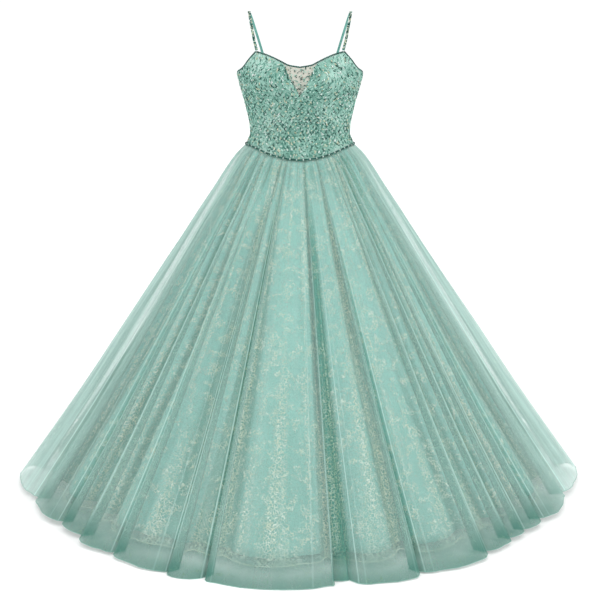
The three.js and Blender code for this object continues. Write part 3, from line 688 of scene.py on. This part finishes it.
def crisp_columns():
    """Columns of the tulle with the sharpness of the crease in each, for each fold."""
    angles, sharp, nudges = [], [], []
    for start, end, size in zip(FOLDS["start"], FOLD_ENDS, FOLDS["tulle"]):
        width = end - start
        marks = [(CORNER["share"], 1.0), (1 - CORNER["share"], 1.0)]
        plain = [0, 0.05, 0.1, 0.9, 0.95]
        if width > 9:
            marks += [(0.24, 0.35), (0.71, 0.4)]
            plain += [0.19, 0.29, 0.35, 0.42, 0.5, 0.58, 0.65, 0.77, 0.82]
        elif width > 4:
            plain += [0.22, 0.32, 0.42, 0.5, 0.58, 0.68, 0.78]
        else:
            plain += [0.3, 0.5, 0.7]
        rows = [(share, 0.0, 0.0) for share in plain]
        for share, value in marks:
            rows += [(share, -1.0, 0.0), (share, 0.0, value), (share, 1.0, 0.0)]
        for share, nudge, value in sorted(rows):
            angles.append(start + width * share)
            sharp.append(value)
            nudges.append(nudge)
    return np.array(angles), np.array(sharp), np.array(nudges)


def down(*stretches):
    """Falls from waist to hem: each stretch is where it ends and its number of steps."""
    falls, last = [0.0], 0.0
    for end, steps in stretches:
        falls += list(last + (end - last) * np.arange(1, steps + 1) / steps)
        last = end
    return np.array(falls)[:, None]


# Folds narrower than this many degrees are tucked: they are shaded whole, fully so beyond a radius
TUCKED = {"width": 9, "fade": 3, "shade": 0.3, "radius": 300}
# Depth that counts as a full hollow, as a share of the radius with an amount on top
FULL_HOLLOW = {"share": 0.018, "least": 10}
WINDOW_SHARE = 45


def hollow_of(points, at):
    """How deep each point lies in a fold, from 0 on a crest to 1, where the least light reaches."""
    _, width, share = fold_at(at)
    narrow = np.clip((TUCKED["width"] - width) / TUCKED["fade"], 0, 1)
    radius = np.hypot(points[..., 0], points[..., 1])
    grown = np.clip(radius / TUCKED["radius"], 0, 1)
    tucked = TUCKED["shade"] * narrow * np.sin(np.pi * share) ** 0.5 * grown
    reach = radius.shape[1] // WINDOW_SHARE
    total = sum(np.roll(radius, step, axis=1) for step in range(-reach, reach + 1))
    depth = total / (2 * reach + 1) - radius
    return np.clip(0.5 + tucked + depth / (FULL_HOLLOW["share"] * radius + FULL_HOLLOW["least"]), 0, 1)


def skirt_layer(name, layer, at, fall, out, material, thickness=0.0, **attributes):
    points = skirt_point(layer, at, fall, out)
    shape = points.shape[:2]
    attributes = {label: np.broadcast_to(values, shape) for label, values in attributes.items()}
    attributes.update(flow=flow_of(np.broadcast_to(at, shape), fall), hollow=hollow_of(points, at))
    return cloth(name, points, material, closed=True, thickness=thickness, attributes=attributes), points


# The fine skins lie this far inside the solids' outer faces
SKIN_IN = {"satin": 0.4, "lace": 0.8, "tulle": 0.7}
SATIN_THICKNESS = 0.8
SATIN_GATHERS = {"count": 44, "size": 3.2, "reach": 0.2}
TULLE_GATHERS = {"count": 52, "size": 3.4, "reach": 0.22}

fold_widths = FOLD_ENDS - FOLDS["start"]
satin_at = (FOLDS["start"][:, None] + fold_widths[:, None] * SOFT_SHARES).ravel()[None]
satin_fall = down((0.06, 8), (0.3, 16), (1, 36))
satin_folds = creases(satin_at, satin_fall, SATIN_CREASES) + gathers(satin_at, satin_fall, **SATIN_GATHERS)
satin_out, lace_out = (satin_folds - SKIN_IN[name] for name in ("satin", "lace"))
satin_skirt, _ = skirt_layer(
    "satin_underskirt", SATIN, satin_at, satin_fall, satin_out, MINT_SATIN, SATIN_THICKNESS
)
lace_skirt, lace_points = skirt_layer("lace_overlay", LACE, satin_at, satin_fall, lace_out, LACE_CLOTH)
crisp_at, crisp_sharp, crisp_nudge = crisp_columns()
tulle_fall = down((0.06, 8), (0.3, 16), (1, 34))
tulle_at = crisp_at[None] + crisp_nudge[None] * np.degrees(CREASE_HALF / HEM_RADIUS)
tulle_folds = creases(tulle_at, tulle_fall, TULLE_CREASES) + gathers(tulle_at, tulle_fall, **TULLE_GATHERS)
tulle_out = tulle_folds - SKIN_IN["tulle"]
# Pressed edges are faint at the waist, where the gathers take them up
tulle_sharp = crisp_sharp[None] * np.clip(tulle_fall / 0.05, 0.25, 1)
tulle_skirt, tulle_points = skirt_layer(
    "tulle_overskirt", TULLE, tulle_at, tulle_fall, tulle_out, TULLE_NET, crease=tulle_sharp
)
for made, solid, slot in (
    (satin_skirt, "satin_gore", "mint_satin"), (lace_skirt, "lace_panel", "gold_lace"),
    (tulle_skirt, "tulle_panel", "pale_tulle"),
):
    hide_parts(*(f"{solid}_{n}" for n in range(1, 9)))

# Hems: a rolled edge on the tulle, and a corded edge with loose thread ends on the lace
HEM_CORD = {"tulle": 0.8, "lace": 1.1, "sides": 5}
EYELASHES = {"count": 700, "low": 3, "high": 11, "radius": 0.35, "rising": 0.35}
tulle_roll = tube(tulle_points[-1], HEM_CORD["tulle"], HEM_CORD["sides"], closed=True)
tulle_hem = piece("tulle_hem_roll", *tulle_roll, TULLE_BINDING)
lace_roll = tube(lace_points[-1], HEM_CORD["lace"], HEM_CORD["sides"], closed=True)
lace_hem = piece("lace_hem_cord", *lace_roll, LACE_CORD)


def eyelashes(hem):
    """Loose thread ends that stand out below and above a hem."""
    rng, count = np.random.default_rng(SEED), EYELASHES["count"]
    starts = hem[rng.integers(0, len(hem), count)]
    along = np.roll(hem, -1, 0) - hem
    starts = starts + along[rng.integers(0, len(hem), count)] * rng.random((count, 1))
    lengths = rng.uniform(EYELASHES["low"], EYELASHES["high"], count)
    lean = rng.normal(0, 0.7, count)
    outward = unit(starts * [1, 1, 0])
    sideways = np.cross([0, 0, 1], outward)
    up = np.where(rng.random(count) < EYELASHES["rising"], 1, -1)
    parts = []
    for i in range(count):
        t = np.linspace(0, 1, 5)[:, None]
        tip = up[i] * np.array([0, 0, 1]) + lean[i] * sideways[i] + 0.15 * outward[i]
        curl = np.sin(t * 3) * sideways[i] * rng.normal(0, 1.5)
        path = starts[i] + lengths[i] * t * unit(tip) + curl
        parts.append(tube(path, EYELASHES["radius"], 3, across=outward[i]))
    return joined(*parts)


lace_ends = piece("lace_eyelash_threads", *eyelashes(lace_points[-1]), LACE_CORD)

# Bodice shells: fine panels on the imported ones, lined inside
FACE_IN = 0.2
SHELL_WALL = 2.4
BODICE_RISE = 0.4
SEAM_IN = 0.06
TOP_RISE = 1.0
PANEL_ROWS = 60
# The row of points along which a panel's width is measured for its cut
# Degrees between a panel's columns of points, for each kind of panel
ANGLE_STEP = {"front": 1.2, "back": 1.6, "inset": 1.0}


def panel(name, node, angles, top, bottom, rows, material, thickness=SHELL_WALL, lining=None):
    angles = np.asarray(angles, float)[None]
    share = np.linspace(0, 1, rows + 1)[:, None]
    top_edge = top(angles) + TOP_RISE
    heights = top_edge + (bottom(angles) - top_edge) * share
    made = cloth(name, torso_point(angles, heights, FACE_IN), material, thickness=thickness, lining=lining)
    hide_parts(node)
    return made


def bodice_bottom(angle):
    return seam_height(angle) + BODICE_RISE


def front_top(angle):
    inside = np.abs(angle) < NOTCH["angle"]
    return np.where(inside, np.minimum(notch_height(angle), under_piping(angle)), under_piping(angle))


def steps(start, end, step):
    return np.linspace(start, end, max(2, math.ceil(abs(end - start) / step) + 1))


front_edge = PRINCESS_SEAM - SEAM_IN
notch_marks = [-NOTCH["angle"], 0, NOTCH["angle"]]
front_angles = np.unique(np.concatenate([steps(-front_edge, front_edge, ANGLE_STEP["front"]), notch_marks]))
panels = {
    "center_front": (front_angles, front_top),
    "side_front_left": (
        steps(PRINCESS_SEAM + SEAM_IN, SIDE_SEAM - SEAM_IN, ANGLE_STEP["front"]), under_piping,
    ),
    "back_left": (steps(SIDE_SEAM + SEAM_IN, ZIP_EDGE, ANGLE_STEP["back"]), under_piping),
}
for side in ("side_front", "back"):
    angles, top = panels[f"{side}_left"]
    panels[f"{side}_right"] = (-angles[::-1], top)
for label, (angles, top) in panels.items():
    names = (f"satin_{label}", f"bodice_{label}")
    shell = panel(*names, angles, top, bodice_bottom, PANEL_ROWS, BODICE_SATIN, lining=LINING)

ILLUSION_EDGE = NOTCH["angle"] - 1
INSET_ROWS = 24
INSET_THICKNESS = 0.9


def illusion_bottom(angle):
    return np.minimum(notch_height(angle) + TOP_RISE + 0.1, under_piping(angle) - 1)


illusion_angles = steps(-ILLUSION_EDGE, ILLUSION_EDGE, ANGLE_STEP["inset"])
illusion_angles = np.unique(np.concatenate([illusion_angles, [0]]))
illusion = panel(
    "nude_mesh_inset", "illusion_panel", illusion_angles, under_piping, illusion_bottom,
    INSET_ROWS, NUDE_MESH, INSET_THICKNESS,
)

# Beads
BUGLE = lathe([(-3.1, 0.6), (-2.8, 1.15), (2.8, 1.15), (3.1, 0.6)], 5)
SEED_BEAD = lathe([(-1.1, 0.6), (-0.6, 1.5), (0.6, 1.5), (1.1, 0.6)], 6)
ROUND_BEAD = lathe([(-1.75, 0.5), (-1.2, 1.45), (0, 1.95), (1.2, 1.45), (1.75, 0.5)], 8)


def surface_axes(angle, height, turn):
    """Two axes on the bodice's face, turned, and the one that points out of it."""
    nudge_angle, nudge_height = 0.2, 0.4
    across = unit(torso_point(angle + nudge_angle, height) - torso_point(angle - nudge_angle, height))
    up = torso_point(angle, height + nudge_height) - torso_point(angle, height - nudge_height)
    out = unit(np.cross(across, up))
    up = np.cross(out, across)
    cosine, sine = np.cos(turn)[:, None], np.sin(turn)[:, None]
    along = cosine * across + sine * up
    return np.stack([along, np.cross(out, along), out], 1)


BEAD_SPACING = 5.0
# Clear space from a bead's middle to the edge, to the waist seam's piping on top of that, and to the zip
BEAD_EDGE = {"edge": 1.6, "piping": 5, "zip": 2.5}
# Beads crowd along the notch's edges, within this height and angle of them, and mesh starts this high above
NOTCH_BEADS = {"height": 7, "angle": 2, "mesh": 2}
# Beads swirl on the cups: how far they turn, over what height and angle, and how far each slips
SWIRL = {"turn": 55, "height": 23, "angle": 21, "slip": 0.22}
BEAD_SIZES = (0.75, 1.15)
# Heights and mean radius of the field that beads are strewn on, and where the cups give way to the midriff
BEAD_FIELD = {"low": -405, "high": -100, "radius": 155, "cups": -215, "blur": 26}
BEAD_LIFT = {"bugle": 0.7, "seed": 0.8}
SEED_SHARE = {"mesh": 0.6, "cloth": 0.3}
BEAD_MIX = {
    # Share of each colour, in the order of BEADS, on the cups, along the midriff's lattice, between its lines
    # and on the nude mesh
    "cup": (0.24, 0.28, 0.28, 0.12, 0.08),
    "line": (0.36, 0.5, 0.08, 0.04, 0.02),
    "diamond": (0.03, 0.2, 0.46, 0.18, 0.13),
    "mesh": (0.4, 0.25, 0.12, 0.13, 0.1),
}
LATTICE = {"pitch": 15.5, "line": 0.17}
BEAD_COVER = {"cup": 0.74, "line": 1.0, "diamond": 0.66, "mesh": 0.42}


def bodice_beads():
    rng = np.random.default_rng(SEED)
    row_step, column_step = BEAD_SPACING * 0.9, np.degrees(BEAD_SPACING / BEAD_FIELD["radius"])
    rows = np.arange(BEAD_FIELD["low"], BEAD_FIELD["high"], row_step)
    columns = np.arange(-ZIP_EDGE, ZIP_EDGE, column_step)
    height, angle = (grid.ravel() for grid in np.meshgrid(rows, columns, indexing="ij"))
    angle = angle + rng.uniform(-0.3, 0.3, angle.shape) * column_step
    height = height + rng.uniform(-0.3, 0.3, height.shape) * row_step
    inside = height < under_piping(angle) - BEAD_EDGE["edge"]
    inside &= height > bodice_bottom(angle) + BEAD_EDGE["edge"] + BEAD_EDGE["piping"]
    inside &= np.abs(angle) < ZIP_EDGE - BEAD_EDGE["zip"]
    angle, height = angle[inside], height[inside]
    on_mesh = (np.abs(angle) < NOTCH["angle"]) & (height > notch_height(angle) + NOTCH_BEADS["mesh"])
    around = angle * np.radians(BEAD_FIELD["radius"])
    rising, falling = ((around + way * height) / LATTICE["pitch"] for way in (-1, 1))
    off_rising, off_falling = (np.abs(share - np.round(share)) for share in (rising, falling))
    midriff = np.where(np.minimum(off_rising, off_falling) < LATTICE["line"], "line", "diamond")
    on_cup = height > BEAD_FIELD["cups"] + BEAD_FIELD["blur"] * rng.random(len(height))
    region = np.where(on_mesh, "mesh", np.where(on_cup, "cup", midriff))
    crossed = np.radians(45) * np.where(off_rising < off_falling, 1, -1)
    cover = np.vectorize(BEAD_COVER.get)(region)
    beside_notch = np.abs(height - notch_height(angle)) < NOTCH_BEADS["height"]
    beside_notch &= np.abs(angle) < NOTCH["angle"] + NOTCH_BEADS["angle"]
    cover = np.where(beside_notch, 1, cover)
    kept = rng.random(len(angle)) < cover
    angle, height, region, crossed = angle[kept], height[kept], region[kept], crossed[kept]
    # On the lattice the beads lie along its lines instead
    wave = np.sin(height / SWIRL["height"] + np.abs(angle) / SWIRL["angle"])
    swirl = np.pi / 2 + np.radians(SWIRL["turn"]) * wave * np.sign(angle + 0.01)
    turn = np.where(region == "line", crossed, swirl) + rng.normal(0, SWIRL["slip"], len(angle))
    axes = surface_axes(angle, height, turn)
    draw, small = rng.random(len(angle)), rng.random(len(angle))
    size = rng.uniform(*BEAD_SIZES, len(angle))
    ends = np.zeros((len(angle), len(BEADS)))
    for name, mix in BEAD_MIX.items():
        ends[region == name] = np.cumsum(mix)
    picked = (draw[:, None] >= ends).sum(1)
    for number, colour in enumerate(BEADS):
        mine = picked == number
        seeds = mine & (small < np.where(region == "mesh", SEED_SHARE["mesh"], SEED_SHARE["cloth"]))
        bugles = mine & ~seeds
        parts = []
        for chosen, template, kind in ((bugles, BUGLE, "bugle"), (seeds, SEED_BEAD, "seed")):
            origin = torso_point(angle[chosen], height[chosen]) + axes[chosen][:, 2] * BEAD_LIFT[kind]
            parts.append(copies(template, (origin, axes[chosen], size[chosen])))
        beads = piece(f"bodice_beads_{colour}", *joined(*parts), BEADS[colour], smooth_shading=False)


bodice_beads()


# Bead pipings: round beads strung along a cord on every edge and on the waist seam
def even_path(points, gap):
    """A path again, with points a gap apart."""
    along = np.concatenate([[0], np.cumsum(np.linalg.norm(np.diff(points, axis=0), axis=1))])
    at = np.linspace(0, along[-1], max(2, round(along[-1] / gap) + 1))
    return np.stack([np.interp(at, along, points[:, k]) for k in range(3)], 1)


PIPING_CORD = {"radius": 1.6, "sides": 6}
PIPING_BEAD_GAP = 4.6
PIPING_BEAD_SIZE = {"dark_green": 1.4, "silver": 1.05}


def round_beads(name, colour, spots, axes, mine, size):
    """Beads of one colour, strung at those spots that are mine."""
    places = (spots[mine], axes[mine], np.full(mine.sum(), size))
    beads = piece(name, *copies(ROUND_BEAD, places), BEADS[colour])


def bead_piping(node, points, colours):
    path = even_path(points, PIPING_BEAD_GAP)
    along, first, second = frames(path, (0, 0, 1))
    axes = np.stack([along, first, second], 1)
    core = piece(f"{node}_cord", *tube(path, PIPING_CORD["radius"], PIPING_CORD["sides"]), BEAD_CORE)
    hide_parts(node)
    order = np.arange(len(path)) % len(colours)
    for colour in sorted(set(colours)):
        mine = np.isin(order, [i for i, c in enumerate(colours) if c == colour])
        round_beads(f"{node}_beads_{colour}", colour, path, axes, mine, PIPING_BEAD_SIZE[colour])


STOP_SHORT = {"corner": 1.6, "armhole_top": 0.4, "side": 0.15, "zip": 2.6}
WAIST_RISE = PIPING_RADIUS + 1.2
WAIST_OUT = PIPING_RADIUS + 0.8
EDGE_COLOURS = ["dark_green"]
WAIST_COLOURS = ["dark_green", "dark_green", "dark_green", "silver"]


def edge_path(start, end, sign=1):
    angle = sign * steps(start, end, 0.7)
    return torso_point(angle, edge_height(angle) - PIPING_RADIUS, BODICE_WALL / 2)


def waist_path(start, end, sign=1):
    angle = sign * steps(start, end, 0.7)
    return torso_point(angle, seam_height(angle) + WAIST_RISE, -WAIST_OUT)


corner_end, front_end = STRAP_CORNER - STOP_SHORT["corner"], SIDE_SEAM - STOP_SHORT["side"]
back_start, back_end = SIDE_SEAM + STOP_SHORT["side"], 180 - STOP_SHORT["zip"]
bead_piping("neckline_piping", edge_path(-corner_end, corner_end), EDGE_COLOURS)
bead_piping("waist_piping_front", waist_path(-front_end, front_end), WAIST_COLOURS)
armhole_start = STRAP_CORNER + STOP_SHORT["armhole_top"]
for side, sign in (("left", 1), ("right", -1)):
    bead_piping(f"armhole_piping_{side}", edge_path(armhole_start, front_end, sign), EDGE_COLOURS)
    bead_piping(f"back_neck_piping_{side}", edge_path(back_start, back_end, sign), EDGE_COLOURS)
    bead_piping(f"waist_piping_back_{side}", waist_path(back_start, back_end, sign), WAIST_COLOURS)

# Straps: points on the underside of one strap from the bodice up to the shoulder
FRONT_STRAP = {"width": 7.4, "thick": 1.6}
BACK_STRAP = {"width": 7, "thick": 2}
STRAP_STEP = {"front": 3.1, "back": 4.0}
STRAP_LIFT = 0.6
STRAP_ACROSS = (-1, 0, 0)
STRAP_BEADS = {"size": 0.72, "lift": 2.4, "offsets": (-2.55, 0, 2.55)}
STRAP_SHARES = {"dark_green": 0.42, "cream": 0.22, "silver": 0.2, "sea_green": 0.16}
FRONT_STRAP_PATH = [(122.5, -72, -78), (128.5, -58, -49), (134, -39, -22), (137.4, -20, -6)]
BACK_STRAP_PATH = [(136, 22, -8), (128, 44, -34), (116, 63, -74), (103.5, 78, -117), (92.5, 90, -155)]


def curve_through(points, gap):
    """A smooth path through points, with points a gap apart."""
    points = np.asarray(points, float)
    padded = np.concatenate([2 * points[:1] - points[1:2], points, 2 * points[-1:] - points[-2:-1]])
    t = np.linspace(0, 1, 12, endpoint=False)[:, None]
    pieces = []
    for i in range(len(points) - 1):
        a, b, c, d = padded[i : i + 4]
        bend, twist = 2 * a - 5 * b + 4 * c - d, 3 * b - a - 3 * c + d
        pieces.append(0.5 * (2 * b + (c - a) * t + bend * t**2 + twist * t**3))
    return even_path(np.concatenate([*pieces, points[-1:]]), gap)


def strap_body(path, strap):
    """A flat strap with rounded edges, its underside on the path."""
    _, first, second = frames(path, STRAP_ACROSS)
    thick = strap["thick"]
    half, round_off = strap["width"] / 2, thick * 0.35
    section = np.array([
        (-half + round_off, 0), (half - round_off, 0), (half, round_off), (half, thick - round_off),
        (half - round_off, thick), (0, thick * 1.04), (-half + round_off, thick), (-half, thick - round_off),
        (-half, round_off),
    ])
    sides = len(section)
    points = path[:, None] + section[None, :, :1] * first[:, None] + section[None, :, 1:] * second[:, None]
    last = (len(path) - 1) * sides
    caps = [list(range(sides))[::-1], [last + k for k in range(sides)]]
    return points.reshape(-1, 3), ring_faces(len(path), sides).tolist() + caps


for side, sign in (("left", 1), ("right", -1)):
    mirror = np.array([sign, 1, 1])
    foot_angle = STRAP_CORNER - 0.5
    front_foot = torso_point(sign * foot_angle, edge_height(foot_angle) + STRAP_LIFT, BODICE_WALL)
    back_depth = (BODICE_WALL + BACK_STRAP["thick"]) / 2
    back_foot = torso_point(sign * BACK_STRAP_ANGLE, edge_height(BACK_STRAP_ANGLE) + STRAP_LIFT, back_depth)
    shoulder = np.array([sign * SHOULDER_X, 0, 0])
    front_way = [front_foot, *(mirror * FRONT_STRAP_PATH), shoulder - [0, SEAM_GAP / 2, 0]]
    back_way = [shoulder + [0, SEAM_GAP / 2, 0], *(mirror * BACK_STRAP_PATH), back_foot]
    front_line = curve_through(front_way, STRAP_STEP["front"])
    back_line = curve_through(back_way, STRAP_STEP["back"])
    for end, line, strap, slot in (
        ("front", front_line, FRONT_STRAP, "bead_piping"), ("back", back_line, BACK_STRAP, "mint_satin"),
    ):
        satin = piece(f"{end}_strap_satin_{side}", *strap_body(line, strap), MINT_SATIN)
        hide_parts(f"strap_{end}_{side}")
    along, first, second = (axis[1:-1] for axis in frames(front_line, STRAP_ACROSS))
    lift = second * STRAP_BEADS["lift"]
    rows = [front_line[1:-1] + first * offset + lift for offset in STRAP_BEADS["offsets"]]
    spots = np.concatenate(rows)
    axes = np.concatenate([np.stack([along, first, second], 1)] * len(rows))
    draw = np.random.default_rng(SEED + (sign > 0)).random(len(spots))
    start = 0.0
    for colour, share in STRAP_SHARES.items():
        mine = (draw >= start) & (draw < start + share)
        start += share
        name = f"front_strap_beads_{colour}_{side}"
        round_beads(name, colour, spots, axes, mine, STRAP_BEADS["size"])

# Centre back zip: two rows of coil on their tapes, with the slider and pull tab of the frame
COIL = {"pitch": 1.6, "tilt": 0.12, "aside": 0.75, "depth": 0.2}
TAPE = {"across": (2.6, 1.0, -1.0, -2.6), "depth": 1.0, "thick": 0.7, "step": 6}
zip_heights = np.arange(ZIP_TOP - 9, float(seam_height(180)) + 2.5, -COIL["pitch"])
zip_face = torso_point(180, zip_heights, 0)[:, 1]
TOOTH = lathe([(-1.5, 0.25), (-1.1, 0.62), (1.1, 0.62), (1.5, 0.25)], 6)
teeth = []
for sign in (1, -1):
    shift = 0 if sign > 0 else COIL["pitch"] / 2
    aside = np.full_like(zip_heights, sign * COIL["aside"])
    origin = np.stack([aside, zip_face - COIL["depth"], zip_heights - shift], 1)
    tilt = COIL["tilt"] * sign
    axes = np.broadcast_to(np.array([[1, 0, tilt], [-tilt, 0, 1], [0, 1, 0]], float), (len(origin), 3, 3))
    teeth.append(copies(TOOTH, (origin, axes, np.ones(len(origin)))))
tape_heights = steps(ZIP_TOP - 2, float(seam_height(180)) + 1, TAPE["step"])[:, None]
tape_x = np.array([TAPE["across"]])
tape_y = torso_point(180, tape_heights[:, 0], 0)[:, 1][:, None] - TAPE["depth"]
tape_points = np.stack(np.broadcast_arrays(tape_x, tape_y, tape_heights), -1)
tape = cloth("zip_tape", tape_points, LINING, thickness=TAPE["thick"])
coil = piece("zip_coil", *joined(*teeth), ZIP_COIL)
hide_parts("zip_chain")
for name in ("zip_slider", "zip_pull_tab"):
    NODES[name].data.materials.clear()
    NODES[name].data.materials.append(ZIP_METAL)

# Floor, backdrop and light
FLOOR_HEIGHT = -1.2905
floor_material, floor_shader, add = finish_of("pale_studio_floor", Roughness=0.9, Specular_IOR_Level=0.0)
here = add("TexCoord", output="Object")
wire(floor_shader, Base_Color=two_tones(add, here, 500, 1, (0.3, 0.7), "#FDFDFD", "#FFFFFF"))
floor_mesh = bpy.data.meshes.new("studio_floor")
FLOOR_REACH = 30
corners = [(x * FLOOR_REACH, y * FLOOR_REACH) for x, y in ((-1, -1), (1, -1), (1, 1), (-1, 1))]
floor_mesh.from_pydata([(x, y, FLOOR_HEIGHT) for x, y in corners], [], [(0, 1, 2, 3)])
floor_mesh.materials.append(floor_material)
floor = bpy.data.objects.new("studio_floor", floor_mesh)
bpy.context.scene.collection.objects.link(floor)

world = bpy.data.worlds.new("studio")
world.use_nodes = True
bpy.context.scene.world = world
background = world.node_tree.nodes["Background"]
background.inputs["Color"].default_value = linear("#FFFFFF")
# The backdrop is white, and lights the gown more softly than it shows
WORLD_LIGHT, WORLD_WHITE = 0.6, 1.05
add = partial(add_node, world.node_tree)
seen = add("LightPath", output="Is Camera Ray")
wire(background, Strength=add("MapRange", (seen, 0, 1, WORLD_LIGHT, WORLD_WHITE)))


def soft_sun(name, direction, softness, power):
    """A large far lamp: direction points from the gown to it, softness is its width in degrees."""
    data = bpy.data.lights.new(name, "SUN")
    data.angle = math.radians(softness)
    data.energy = power
    lamp = bpy.data.objects.new(name, data)
    lamp.rotation_euler = Vector(direction).to_track_quat("Z", "Y").to_euler()
    bpy.context.scene.collection.objects.link(lamp)


soft_sun("right_light", (0.9, -0.42, 0.55), 22, 1.25)
soft_sun("left_light", (-0.9, -0.45, 0.55), 22, 1.05)
soft_sun("back_light", (0.1, 0.9, 0.5), 40, 0.7)
soft_sun("top_light", (0.1, -0.15, 1), 50, 0.8)
bpy.context.scene.view_settings.view_transform = "Standard"
bpy.context.scene.cycles.transparent_max_bounces = 32
bpy.context.scene.cycles.max_bounces = 6
